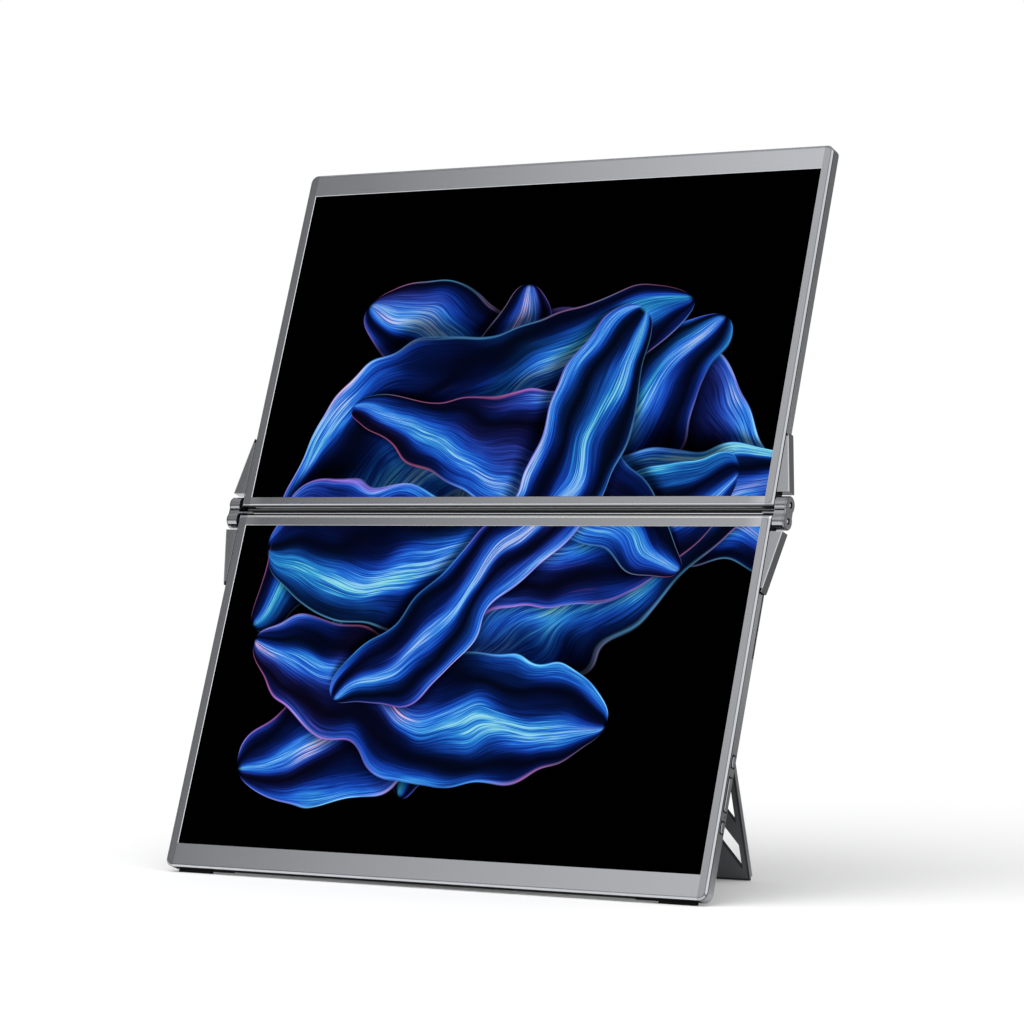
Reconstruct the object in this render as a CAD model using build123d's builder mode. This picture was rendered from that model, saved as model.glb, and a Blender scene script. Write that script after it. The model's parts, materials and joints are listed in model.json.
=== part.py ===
from build123d import *
import os
from math import cos, radians, sin, tan

os.makedirs("parts", exist_ok=True)

# Dual portable monitor, all sizes in millimetres.
# It stands with both monitors in one plane, leaning back, and the kickstand open.
# +Z is up, the screens face -Y, and the origin lies on the floor under the middle of the whole.

# Pose
lean = 19.7
stand_angle = 36.4

# Screens, 15.6 inch at 16:9
screen_width = 344.2
screen_height = 193.6

# Borders around each screen, and the gap between the two monitors
side_bezel = 5.9
far_bezel = 13.9
screen_to_middle = 8.8
upper_hinge_edge = 3.3
lower_hinge_edge = 2.5

# Thickness of each monitor, from the front face
body_thickness = 9.0
plateau_height = 1.8
plateau_inset = 3.0
plateau_slope = 45
rim_thickness = 0.5
frame_wall = 1.6
cover_wall = 0.8
far_corner_radius = 4.5
hinge_corner_radius = 1.0
least_corner_radius = 0.3

# Bezel plate
bezel_depth = 1.4
window_lip = 0.8
chamfer_width = 1.0
chamfer_depth = 0.6
face_groove_width = 0.4
face_groove_depth = 0.15
window_chamfer = 0.25

# Display stack
glass_thickness = 1.0
glass_border = 1.8
glass_ledge = 6.0
guide_thickness = 1.1
tray_floor = 0.5
tray_wall = 0.8
stack_clearance = 0.2

# Frame ledge, screw bosses and cover screws
ledge_width = 10.4
ledge_thickness = 0.5
ledge_root = 0.8
boss_radius = 2.4
boss_from_side = 9.0
boss_near_place = 14.0
boss_middle_place = 96.0
boss_from_end = 9.9
screw_radius = 0.95
screw_length = 4.0
screw_head_radius = 1.8
screw_head_height = 0.45
screw_drive_reach = 2.2
screw_drive_width = 0.5
screw_drive_depth = 0.25
screw_clearance = 0.1

# Rubber strip in the hinge edge
seal_start = 1.7
seal_width = 2.6
seal_thickness = 0.5
seal_recess = 0.1
seal_end_gap = 8.0

# Black strip in the floor edge of the lower monitor
floor_strip_width = 4.8
floor_strip_thickness = 0.6
floor_strip_end_gap = 4.6

# Circuit boards
board_thickness = 0.8
post_height = 1.0
post_radius = 2.0
post_inset = 5.0
chip_height = 0.9
chip_size = 12.0
chip_corner = 0.5
chip_inset = 10.0
chip_pitch = 30.0
chip_count = 3
board_from_boss = 8.0
board_from_end = 19.9
board_side_gap = 5.2
upper_board_start = 70.0
upper_board_length = 40.0
upper_board_width = 120.0

# Sockets in the lower left wall
socket_height = 2.8
socket_depth = 8.4
socket_wall = 0.3
socket_clearance = 0.15
socket_corner = 1.2
tongue_height = 0.7
tongue_margin = 1.2
tongue_setback = 1.2
usb_width = 8.9
video_width = 11.2
audio_width = 5.0
usb_places = (112.0, 128.0)
video_place = 145.0
audio_place = 160.0

# Keys and lamp in the lower right wall
key_depth_middle = 4.6
key_width = 3.1
key_proud = 0.5
key_edge = 0.25
key_travel = 0.3
key_clearance = 0.5
key_flange = 0.5
key_flange_lip = 0.4
power_key_place = 139.6
power_key_length = 6.2
rocker_place = 157.7
rocker_length = 18.4
rocker_play = 0.3
fulcrum_length = 2.4
back_key_place = 175.7
back_key_length = 6.0
switch_height = 0.4
switch_radius = 1.2
switch_board_margin = 3.0
lamp_place = 169.7
lamp_radius = 0.5
lamp_depth = 5.6

# Speakers and the grilles beside them
speaker_start = 50.0
speaker_length = 38.0
speaker_side_gap = 9.2
speaker_height = 2.6
speaker_corner = 2.0
cone_length = 26.0
cone_width = 12.0
cone_depth = 0.3
grille_start = 45.0
grille_end = 82.0
grille_depth = 1.3
grille_reach = 1.4
slot_count = 6
slot_pitch = 2.7
slot_length = 1.5
slot_width = 0.8

# Two-axis hinge
pivot_offset = 4.6
pivot_depth = 4.0
lobe_radius = 5.0
waist_half = 4.1
waist_fillet = 2.0
leaf_thickness = 1.0
leaf_gap = 0.3
leaf_end_radius = 3.0
leaf_half_width = 2.4
leaf_reach = 37.0
block_length = 6.2
cap_length = 1.2
cap_rounding = 0.7
pin_radius = 2.0
pin_play = 0.05
pin_tip_radius = 1.0
tip_hole_radius = 1.8
tip_setback = 0.45
bearing_length = 2.3
disc_count = 2
disc_thickness = 0.6
disc_gap = 0.05
disc_radius = 3.2
disc_room = 0.3
nut_thickness = 1.0
nut_radius = 2.9
seam_width = 0.8
seam_depth = 0.8
seam_drop = 3.8

# Spine between the two hinge blocks
web_half = 0.35
web_start = 4.3
flange_start = 6.8
flange_top = 3.1
flange_bottom = 1.9
flange_depth = 2.0
spine_seat = 1.6
tongue_start = 2.2
tongue_reach = 7.2

# Cable through the left hinge block
cable_radius = 0.5
cable_bore = 0.9
cable_hole = 8.0
cable_bend = 1.0

# Wedge-shaped hinge arms on the side walls
arm_start = 11.3
arm_end = 45.8
arm_height = 8.3
arm_tip_height = 2.0
arm_tip_corner = 1.45
arm_front = 0.6
arm_rear = 6.7
arm_edge = 0.5
arm_clearance = 0.1
arm_tip_skin = 0.45
arm_notch_length = 2.2
arm_notch_depth = 4.5

# Kickstand
stand_from_side = 46.0
stand_thickness = 2.4
stand_axis = 11.0
stand_clearance = 0.2
stand_side_gap = 0.4
stand_end_gap = 0.8
stand_corner = 1.2
stand_pin_radius = 0.6
stand_pin_play = 0.05
stand_pad = 1.6
window_edge = 4.4
window_slope = 1.45
window_corner = 1.0
hinge_cutout = 36.0
hinge_cutout_from_side = 37.0
hinge_cutout_depth = 3.0
knuckle_reach = 6.0
bracket_gap = 0.1
bracket_reach = 2.2
bracket_thickness = 1.2

# Feet under the lower monitor and pads on the upper rear cover
foot_drop = 1.1
foot_length = 23.0
foot_from_side = 7.5
foot_front = 4.2
foot_base_reach = 15.0
foot_base_height = 0.5
pad_radius = 5.0
pad_height = 0.8
pad_from_side = 28.0
pad_places = (30.0, 196.0)

# Windows of the kickstand: height of the outer edge above the floor end, its length, reach inwards
stand_windows = ((7.5, 14.0, 60.0), (35.1, 34.3, 66.0), (84.0, 33.0, 40.0))

# Worked out from the sizes above
half_width = screen_width / 2 + side_bezel
far_edge = screen_to_middle + screen_height + far_bezel
edge_thickness = body_thickness - plateau_height
frame_rear = edge_thickness - rim_thickness
cover_inner = body_thickness - cover_wall
glass_rear = window_lip + glass_thickness
guide_rear = glass_rear + guide_thickness
stack_rear = guide_rear + tray_floor
board_rear = cover_inner - post_height
board_front = board_rear - board_thickness
cavity_half = half_width - plateau_inset - plateau_height - cover_wall
boss_places = (boss_near_place, boss_middle_place, far_edge - boss_from_end)
stand_half_width = half_width - stand_from_side
hinge_cutout_place = stand_half_width - hinge_cutout_from_side
recess_half = stand_half_width + stand_side_gap
recess_floor = body_thickness - stand_thickness - stand_clearance
hollow_width = cavity_half - recess_half - cover_wall
speaker_width = hollow_width - speaker_side_gap
main_board_width = hollow_width - board_side_gap
main_board_start = boss_middle_place + board_from_boss
main_board_length = far_edge - board_from_end - main_board_start
stand_depth = body_thickness - stand_thickness / 2
leaf_x = half_width + leaf_thickness
block_x = leaf_x + leaf_gap
cap_x = block_x + block_length
bearing_x = block_x + bearing_length
nut_x = bearing_x + disc_count * disc_thickness + (disc_count + 1) * disc_gap
pin_end_x = nut_x + nut_thickness

lean_sin = sin(radians(lean))
lean_cos = cos(radians(lean))
stand_tilt = radians(stand_angle - lean)

# The floor lies below the lowest corner of the lower monitor by the height of its feet
hinge_z = far_edge * lean_cos + edge_thickness * lean_sin + foot_drop
foremost = (far_edge - chamfer_width) * lean_sin
rearmost = far_edge * lean_sin + edge_thickness * lean_cos
hinge_y = (foremost - rearmost) / 2
axis_height = hinge_z - stand_axis * lean_cos - stand_depth * lean_sin
stand_length = axis_height / cos(stand_tilt)

# "front" holds drawings seen from the front: x to the right, y up along the monitors.
# "section" holds drawings seen from the right: x is the depth behind the front face, y up.
middle = (0, hinge_y, hinge_z)
front = Plane(origin=middle, x_dir=(1, 0, 0), z_dir=(0, -lean_cos, lean_sin))
section = Plane(origin=middle, x_dir=(0, lean_cos, -lean_sin), z_dir=(1, 0, 0))
view_axis = Axis(middle, (0, -lean_cos, lean_sin))

# Each monitor: name, direction away from the hinge, distance of its edge from the middle line
monitors = (("lower", -1, lower_hinge_edge), ("upper", 1, upper_hinge_edge))
sides = (("left", -1), ("right", 1))


def at_depth(depth):
    """Drawing plane behind the front face."""
    return front.offset(-depth)


def save(piece, label):
    """Name a finished piece and write its file."""
    piece.part.label = label
    export_step(piece.part, f"parts/{label}.step")


def outline(way, edge, inset=0.0):
    """Outline of one monitor in an open drawing, drawn in by inset."""
    length = far_edge - edge - 2 * inset
    with Locations((0, way * (far_edge + edge) / 2)):
        Rectangle(2 * (half_width - inset), length)
    corners = vertices().sort_by(Axis.Y)
    far_corners = corners[-2:] if way > 0 else corners[:2]
    near_corners = corners[:2] if way > 0 else corners[-2:]
    fillet(far_corners, max(far_corner_radius - inset, least_corner_radius))
    fillet(near_corners, max(hinge_corner_radius - inset, least_corner_radius))


def span(way, start, end, half_x):
    """Rectangle centred across the monitor, between two distances from the middle line."""
    with Locations((0, way * (start + end) / 2)):
        Rectangle(2 * half_x, end - start)


def boss_spots(way):
    """Places of the cover screws."""
    across = half_width - boss_from_side
    return [(across * hand, way * place) for hand in (-1, 1) for place in boss_places]


# Front bezel, display stack, frame and rear cover of both monitors


def make_bezel(name, way, edge):
    glass_half = screen_width / 2 + glass_border + stack_clearance
    glass_start = screen_to_middle - glass_border - stack_clearance
    glass_end = screen_to_middle + screen_height + glass_ledge + stack_clearance
    with BuildPart() as bezel:
        with BuildSketch(at_depth(bezel_depth)):
            outline(way, edge)
        extrude(amount=bezel_depth)
        face = bezel.faces().sort_by(view_axis)[-1]
        chamfer(face.outer_wire().edges(), chamfer_width, chamfer_depth, reference=face)
        with BuildSketch(front):
            outline(way, edge, chamfer_width)
            with BuildSketch(mode=Mode.SUBTRACT):
                outline(way, edge, chamfer_width + face_groove_width)
        extrude(amount=-face_groove_depth, mode=Mode.SUBTRACT)
        with BuildSketch(front):
            span(way, screen_to_middle, screen_to_middle + screen_height, screen_width / 2)
        extrude(amount=-bezel_depth, mode=Mode.SUBTRACT)
        face = bezel.faces().sort_by(view_axis)[-1]
        window = face.inner_wires().sort_by(SortBy.LENGTH)[0]
        chamfer(window.edges(), window_chamfer)
        with BuildSketch(at_depth(window_lip)):
            span(way, glass_start, glass_end, glass_half)
        extrude(amount=window_lip - bezel_depth, mode=Mode.SUBTRACT)
    save(bezel, f"{name}_bezel")


def make_display(name, way):
    glass_half = screen_width / 2 + glass_border
    start = screen_to_middle - glass_border
    end = screen_to_middle + screen_height + glass_ledge
    with BuildPart() as glass:
        with BuildSketch(at_depth(window_lip)):
            span(way, start, end, glass_half)
        extrude(amount=-glass_thickness)
    save(glass, f"{name}_display_glass")

    inner = tray_wall + stack_clearance
    with BuildPart() as guide:
        with BuildSketch(at_depth(glass_rear)):
            span(way, start + inner, end - inner, glass_half - inner)
        extrude(amount=-guide_thickness)
    save(guide, f"{name}_light_guide")

    with BuildPart() as tray:
        with BuildSketch(at_depth(glass_rear)):
            span(way, start, end, glass_half)
        extrude(amount=glass_rear - stack_rear)
        with BuildSketch(at_depth(glass_rear)):
            span(way, start + tray_wall, end - tray_wall, glass_half - tray_wall)
        extrude(amount=-guide_thickness, mode=Mode.SUBTRACT)
    save(tray, f"{name}_backlight_tray")


def make_frame(name, way, edge):
    wall_x = half_width - frame_wall
    ledge_edge = frame_wall + ledge_width
    with BuildPart() as frame:
        with BuildSketch(at_depth(bezel_depth)):
            outline(way, edge)
            with BuildSketch(mode=Mode.SUBTRACT):
                outline(way, edge, frame_wall)
        extrude(amount=bezel_depth - frame_rear)
        with BuildSketch(at_depth(stack_rear)):
            outline(way, edge, ledge_root)
            with BuildSketch(mode=Mode.SUBTRACT):
                span(way, edge + ledge_edge, far_edge - ledge_edge, half_width - ledge_edge)
        extrude(amount=-ledge_thickness)
        # Bosses for the cover screws, with their threaded holes
        with BuildSketch(at_depth(stack_rear)):
            with Locations(*boss_spots(way)):
                Circle(boss_radius)
        extrude(amount=stack_rear - cover_inner)
        with BuildSketch(at_depth(cover_inner)):
            with Locations(*boss_spots(way)):
                Circle(screw_radius + screw_clearance)
        extrude(amount=screw_length, mode=Mode.SUBTRACT)
        # Groove of the rubber strip in the hinge edge
        with BuildSketch(at_depth(seal_start)):
            span(way, edge, edge + seal_thickness, half_width - seal_end_gap)
        extrude(amount=-seal_width, mode=Mode.SUBTRACT)
        # Hole through which the cable reaches the left hinge
        with BuildSketch(section.offset(-half_width)):
            with Locations((pivot_depth, way * pivot_offset)):
                Circle(cable_bore)
        extrude(amount=cable_hole, mode=Mode.SUBTRACT)
        if name == "lower":
            # Groove of the black strip in the floor edge
            with BuildSketch(at_depth(bezel_depth)):
                span(way, far_edge - floor_strip_thickness, far_edge, half_width - floor_strip_end_gap)
            extrude(amount=-floor_strip_width, mode=Mode.SUBTRACT)
            # Openings of the sockets in the left wall
            for place, width in socket_list():
                with BuildSketch(section.offset(-half_width)):
                    with Locations((board_front - socket_height / 2, -place)):
                        Rectangle(
                            socket_height + 2 * socket_clearance,
                            width + 2 * socket_clearance,
                        )
                extrude(amount=ledge_edge, mode=Mode.SUBTRACT)
            # Openings of the keys and the lamp in the right wall
            for place, length in key_list():
                with BuildSketch(section.offset(wall_x)):
                    with Locations((key_depth_middle, -place)):
                        SlotOverall(
                            length + 2 * key_clearance,
                            key_width + 2 * key_clearance,
                            rotation=90,
                        )
                extrude(amount=frame_wall, mode=Mode.SUBTRACT)
            with BuildSketch(section.offset(wall_x)):
                with Locations((lamp_depth, -lamp_place)):
                    Circle(lamp_radius + screw_clearance)
            extrude(amount=frame_wall, mode=Mode.SUBTRACT)
            # Room in the ledge for the inner ends of the keys
            face_x = switch_board_face()
            first, last = key_zone()
            with BuildSketch(at_depth(stack_rear)):
                with Locations(((face_x + wall_x) / 2, -(first + last) / 2)):
                    Rectangle(wall_x - face_x, last - first)
            extrude(amount=-ledge_thickness, mode=Mode.SUBTRACT)
            # Rebate of each speaker grille along the rear edge
            for _, hand in sides:
                with BuildSketch(section.offset(hand * half_width)):
                    with Locations((frame_rear - grille_depth / 2, -(grille_start + grille_end) / 2)):
                        Rectangle(grille_depth, grille_end - grille_start)
                extrude(amount=-hand * grille_reach, mode=Mode.SUBTRACT)
    save(frame, f"{name}_side_frame")


def make_cover(name, way, edge):
    lip = plateau_inset + plateau_height
    with BuildPart() as cover:
        with BuildSketch(at_depth(frame_rear)):
            outline(way, edge)
        extrude(amount=-rim_thickness)
        with BuildSketch(at_depth(edge_thickness)):
            outline(way, edge, plateau_inset)
        extrude(amount=-plateau_height, taper=plateau_slope)
        if name == "upper":
            with BuildSketch(at_depth(frame_rear)):
                span(way, edge + lip + cover_wall, far_edge - lip - cover_wall, cavity_half)
            extrude(amount=frame_rear - cover_inner, mode=Mode.SUBTRACT)
            board_spots = upper_board_posts()
        else:
            recess_start = stand_axis - stand_thickness / 2 - stand_end_gap / 2
            recess_end = stand_axis + stand_length + stand_end_gap
            strip_middle = (cavity_half + recess_half + cover_wall) / 2
            strip_start = edge + lip + cover_wall
            strip_end = far_edge - lip - cover_wall
            with BuildSketch(at_depth(recess_floor - cover_wall)):
                span(way, recess_start, far_edge - frame_wall - stack_clearance, recess_half + cover_wall)
            extrude(amount=recess_floor - cover_wall - frame_rear)
            # Hollow beside the recess, for the board and the speakers
            with BuildSketch(at_depth(frame_rear)):
                for _, hand in sides:
                    with Locations((hand * strip_middle, -(strip_start + strip_end) / 2)):
                        Rectangle(hollow_width, strip_end - strip_start)
            extrude(amount=frame_rear - cover_inner, mode=Mode.SUBTRACT)
            # Recess in which the kickstand folds away
            with BuildSketch(at_depth(recess_floor)):
                span(way, recess_start, recess_end, recess_half)
            extrude(amount=recess_floor - body_thickness, mode=Mode.SUBTRACT)
            with BuildSketch(at_depth(edge_thickness)):
                span(way, recess_end - plateau_height, far_edge, recess_half)
            extrude(amount=-plateau_height, mode=Mode.SUBTRACT)
            # Pockets of the kickstand's hinge brackets
            for _, hand in sides:
                with BuildSketch(section.offset(hand * hinge_cutout_place)):
                    with Locations((stand_depth, -(recess_start - bracket_reach / 2))):
                        Rectangle(bracket_thickness, bracket_reach)
                extrude(amount=hinge_cutout / 2 - bracket_gap, both=True, mode=Mode.SUBTRACT)
            board_spots = main_board_posts()
        # Posts that carry the circuit board
        with BuildSketch(at_depth(board_rear)):
            with Locations(*board_spots):
                Circle(post_radius)
        extrude(amount=-post_height)
        # Counterbored holes of the cover screws
        with BuildSketch(at_depth(frame_rear)):
            with Locations(*boss_spots(way)):
                Circle(screw_radius + screw_clearance)
        extrude(amount=frame_rear - body_thickness, mode=Mode.SUBTRACT)
        with BuildSketch(at_depth(body_thickness)):
            with Locations(*boss_spots(way)):
                Circle(screw_head_radius + screw_clearance)
        extrude(amount=screw_head_height, mode=Mode.SUBTRACT)
    save(cover, f"{name}_rear_cover")


def make_cover_screws(name, way):
    head_base = body_thickness - screw_head_height
    with BuildPart() as screws:
        with BuildSketch(at_depth(head_base)):
            with Locations(*boss_spots(way)):
                Circle(screw_head_radius)
        extrude(amount=-(screw_head_height - screw_clearance))
        with BuildSketch(at_depth(head_base)):
            with Locations(*boss_spots(way)):
                Circle(screw_radius)
        extrude(amount=screw_length - screw_head_height)
        with BuildSketch(at_depth(body_thickness - screw_clearance)):
            with Locations(*boss_spots(way)):
                Rectangle(screw_drive_reach, screw_drive_width)
                Rectangle(screw_drive_width, screw_drive_reach)
        extrude(amount=screw_drive_depth, mode=Mode.SUBTRACT)
    save(screws, f"{name}_cover_screws")


def make_edge_seal(name, way, edge):
    with BuildPart() as seal:
        with BuildSketch(at_depth(seal_start)):
            span(way, edge + seal_recess, edge + seal_thickness, half_width - seal_end_gap)
        extrude(amount=-seal_width)
    save(seal, f"{name}_edge_seal")


def make_floor_strip():
    with BuildPart() as strip:
        with BuildSketch(at_depth(bezel_depth)):
            span(-1, far_edge - floor_strip_thickness, far_edge, half_width - floor_strip_end_gap)
        extrude(amount=-floor_strip_width)
    save(strip, "lower_floor_strip")


# Electronics


def main_board_posts():
    """Posts under the corners of the lower board."""
    outer = cavity_half - screw_clearance - post_inset
    inner = outer + 2 * post_inset - main_board_width
    low = main_board_start + post_inset
    high = main_board_start + main_board_length - post_inset
    return [(-x, -y) for x in (inner, outer) for y in (low, high)]


def upper_board_posts():
    """Posts under the corners of the upper board."""
    across = upper_board_width / 2 - post_inset
    low = upper_board_start + post_inset
    high = upper_board_start + upper_board_length - post_inset
    return [(x, y) for x in (-across, across) for y in (low, high)]


def socket_list():
    """Place along the wall and width of each socket."""
    usb = [(place, usb_width) for place in usb_places]
    return usb + [(video_place, video_width), (audio_place, audio_width)]


def key_list():
    """Place along the wall and length of each key."""
    return [
        (power_key_place, power_key_length),
        (rocker_place, rocker_length),
        (back_key_place, back_key_length),
    ]


def key_zone():
    """Start and end of the row of keys along the wall."""
    first = power_key_place - power_key_length / 2 - switch_board_margin
    last = back_key_place + back_key_length / 2 + switch_board_margin
    return first, last


def make_boards():
    edge_x = cavity_half - screw_clearance
    board_middle = main_board_start + main_board_length / 2
    with BuildPart() as main_board:
        with BuildSketch(at_depth(board_front)):
            with Locations((main_board_width / 2 - edge_x, -board_middle)):
                Rectangle(main_board_width, main_board_length)
        extrude(amount=-board_thickness)
        with BuildSketch(at_depth(board_front)):
            with Locations((main_board_width - chip_inset - edge_x, -board_middle)):
                with GridLocations(0, chip_pitch, 1, chip_count):
                    RectangleRounded(chip_size, chip_size, chip_corner)
        extrude(amount=chip_height)
    save(main_board, "lower_main_board")

    upper_middle = upper_board_start + upper_board_length / 2
    with BuildPart() as upper_board:
        with BuildSketch(at_depth(board_front)):
            with Locations((0, upper_middle)):
                Rectangle(upper_board_width, upper_board_length)
        extrude(amount=-board_thickness)
        with BuildSketch(at_depth(board_front)):
            with Locations((0, upper_middle)):
                with GridLocations(chip_pitch, 0, chip_count, 1):
                    RectangleRounded(chip_size, chip_size, chip_corner)
        extrude(amount=chip_height)
    save(upper_board, "upper_driver_board")


def make_sockets():
    mouth_x = half_width - stack_clearance
    middle_depth = board_front - socket_height / 2
    with BuildPart() as sockets:
        for place, width in socket_list():
            with BuildSketch(section.offset(-mouth_x)):
                with Locations((middle_depth, -place)):
                    RectangleRounded(socket_height, width, socket_corner)
            extrude(amount=socket_depth)
            with BuildSketch(section.offset(-mouth_x)):
                with Locations((middle_depth, -place)):
                    RectangleRounded(
                        socket_height - 2 * socket_wall,
                        width - 2 * socket_wall,
                        socket_corner - socket_wall,
                    )
            extrude(amount=socket_depth - socket_wall, mode=Mode.SUBTRACT)
            with BuildSketch(section.offset(socket_depth - mouth_x)):
                with Locations((middle_depth, -place)):
                    Rectangle(tongue_height, width - 2 * (socket_wall + tongue_margin))
            extrude(amount=tongue_setback - socket_depth)
    save(sockets, "input_sockets")


def make_speakers():
    speaker_middle = speaker_start + speaker_length / 2
    across = cavity_half - stack_clearance - speaker_width / 2
    with BuildPart() as speakers:
        with BuildSketch(at_depth(cover_inner)):
            with Locations((-across, -speaker_middle), (across, -speaker_middle)):
                RectangleRounded(speaker_width, speaker_length, speaker_corner)
        extrude(amount=speaker_height)
        with BuildSketch(at_depth(cover_inner - speaker_height)):
            with Locations((-across, -speaker_middle), (across, -speaker_middle)):
                SlotOverall(cone_length, cone_width, rotation=90)
        extrude(amount=-cone_depth, mode=Mode.SUBTRACT)
    save(speakers, "speaker_boxes")

    slots_length = (slot_count - 1) * slot_pitch
    for side, hand in sides:
        with BuildPart() as grille:
            with BuildSketch(section.offset(hand * half_width)):
                with Locations((frame_rear - grille_depth / 2, -(grille_start + grille_end) / 2)):
                    Rectangle(grille_depth, grille_end - grille_start)
            extrude(amount=-hand * grille_reach)
            with BuildSketch(section.offset(hand * half_width)):
                slots_middle = grille_end - slot_pitch - slots_length / 2
                with Locations((frame_rear - grille_depth / 2, -slots_middle)):
                    with GridLocations(0, slot_pitch, 1, slot_count):
                        Rectangle(slot_width, slot_length)
            extrude(amount=-hand * grille_reach, mode=Mode.SUBTRACT)
        save(grille, f"speaker_grille_{side}")


# Keys, switch board and lamp in the lower right wall


def make_key(label, place, length, play, fulcrum):
    wall_x = half_width - frame_wall
    flange_x = wall_x - play - key_flange
    with BuildPart() as key:
        with BuildSketch(section.offset(flange_x + key_flange)):
            with Locations((key_depth_middle, -place)):
                SlotOverall(length, key_width, rotation=90)
        extrude(amount=half_width + key_proud - flange_x - key_flange)
        top = key.faces().sort_by(Axis.X)[-1]
        chamfer(top.edges(), key_edge)
        with BuildSketch(section.offset(flange_x)):
            with Locations((key_depth_middle, -place)):
                SlotOverall(
                    length + 2 * (key_clearance + key_flange_lip),
                    key_width,
                    rotation=90,
                )
        extrude(amount=key_flange)
        if fulcrum:
            # Rounded rib on which the rocker tilts
            with BuildSketch(at_depth(key_depth_middle + fulcrum_length / 2)):
                with Locations((flange_x, -place)):
                    Circle(flange_x - switch_board_face() - screw_clearance)
            extrude(amount=fulcrum_length)
    save(key, label)


def make_keys():
    make_key("power_key", power_key_place, power_key_length, screw_clearance, False)
    make_key("rocker_key", rocker_place, rocker_length, rocker_play, True)
    make_key("back_key", back_key_place, back_key_length, screw_clearance, False)

    face_x = switch_board_face()
    first, last = key_zone()
    board_start = stack_rear + ledge_thickness
    rocker_switch = rocker_length / 2 - switch_radius - key_clearance
    places = (
        power_key_place,
        rocker_place - rocker_switch,
        rocker_place + rocker_switch,
        back_key_place,
    )
    with BuildPart() as switch_board:
        with BuildSketch(section.offset(face_x)):
            with Locations(((board_start + frame_rear) / 2, -(first + last) / 2)):
                Rectangle(frame_rear - board_start, last - first)
        extrude(amount=-board_thickness)
        with BuildSketch(section.offset(face_x)):
            for place in places:
                with Locations(((board_start + frame_rear) / 2, -place)):
                    Circle(switch_radius)
        extrude(amount=switch_height)
    save(switch_board, "switch_board")

    with BuildPart() as lamp:
        with BuildSketch(section.offset(face_x)):
            with Locations((lamp_depth, -lamp_place)):
                Circle(lamp_radius)
        extrude(amount=half_width - face_x)
    save(lamp, "status_lamp")


def switch_board_face():
    """Distance of the switch board's face from the middle, behind the flange of a pressed key."""
    pressed = half_width - frame_wall - screw_clearance - key_flange - key_travel
    return pressed - switch_height - screw_clearance


# Hinge leaves with their pivot pins, nuts and arms, one set at each end of both monitors


def make_hinge_leaf(name, way, side, hand):
    with BuildPart() as leaf:
        with BuildSketch(section.offset(hand * half_width)):
            with Locations((pivot_depth, way * pivot_offset)):
                Circle(leaf_end_radius)
            with Locations((pivot_depth, way * (pivot_offset + leaf_reach) / 2)):
                Rectangle(2 * leaf_half_width, leaf_reach - pivot_offset)
        extrude(amount=hand * leaf_thickness)
        with BuildSketch(section.offset(hand * leaf_x)):
            with Locations((pivot_depth, way * pivot_offset)):
                Circle(pin_radius)
        extrude(amount=hand * (pin_end_x - leaf_x))
        if side == "right":
            # The tip of the pin shows in the hole of the end cap
            with BuildSketch(section.offset(hand * pin_end_x)):
                with Locations((pivot_depth, way * pivot_offset)):
                    Circle(pin_tip_radius)
            extrude(amount=hand * (cap_x + cap_length - tip_setback - pin_end_x))
        else:
            # The left pins are hollow and pass the cable
            with BuildSketch(section.offset(hand * half_width)):
                with Locations((pivot_depth, way * pivot_offset)):
                    Circle(cable_bore)
            extrude(amount=hand * (pin_end_x - half_width), mode=Mode.SUBTRACT)
    save(leaf, f"{name}_hinge_leaf_{side}")


def make_pin_nuts(name, way):
    with BuildPart() as nuts:
        for _, hand in sides:
            with BuildSketch(section.offset(hand * nut_x)):
                with Locations((pivot_depth, way * pivot_offset)):
                    Circle(nut_radius)
                    Circle(pin_radius, mode=Mode.SUBTRACT)
            extrude(amount=hand * nut_thickness)
    save(nuts, f"{name}_pin_nuts")


def make_arm(name, way, side, hand):
    base = hand * half_width
    notch_start = way * (arm_end - arm_notch_length)
    corners = [
        (base, way * arm_start),
        (base + hand * arm_height, way * arm_start),
        (base + hand * arm_tip_height, notch_start),
        (base + hand * arm_tip_corner, way * arm_end),
        (base, way * arm_end),
    ]
    notch_corners = [
        (base, notch_start),
        (base + hand * (arm_tip_height - arm_tip_skin), notch_start),
        (base + hand * (arm_tip_corner - arm_tip_skin), way * arm_end),
        (base, way * arm_end),
    ]
    with BuildPart() as arm:
        with BuildSketch(at_depth(arm_front)):
            with BuildLine():
                Polyline(*corners, close=True)
            make_face()
        extrude(amount=arm_front - arm_rear)
        slanted = arm.faces().sort_by(SortBy.AREA)[-1]
        chamfer(slanted.edges().sort_by(view_axis)[-1], arm_edge)
        # Pocket over the hinge leaf
        with BuildSketch(section.offset(base)):
            with Locations((pivot_depth, way * (arm_start + leaf_reach + arm_clearance) / 2)):
                Rectangle(
                    2 * (leaf_half_width + arm_clearance),
                    leaf_reach + arm_clearance - arm_start,
                )
        extrude(amount=hand * (leaf_thickness + arm_clearance), mode=Mode.SUBTRACT)
        # Notch between the wall and the thin skin of the tip
        with BuildSketch(at_depth(arm_front)):
            with BuildLine():
                Polyline(*notch_corners, close=True)
            make_face()
        extrude(amount=-arm_notch_depth, mode=Mode.SUBTRACT)
    save(arm, f"{name}_hinge_arm_{side}")


# Hinge link: a block at each end, its end cap and friction discs, and the spine between them


def block_profile():
    """Figure-eight outline of a hinge block in an open drawing."""
    with Locations((pivot_depth, pivot_offset), (pivot_depth, -pivot_offset)):
        Circle(lobe_radius)
    with Locations((pivot_depth, 0)):
        Rectangle(2 * waist_half, 2 * pivot_offset)
    hollows = vertices().filter_by(lambda v: abs(v.Y) < pivot_offset)
    fillet(hollows, waist_fillet)


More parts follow.
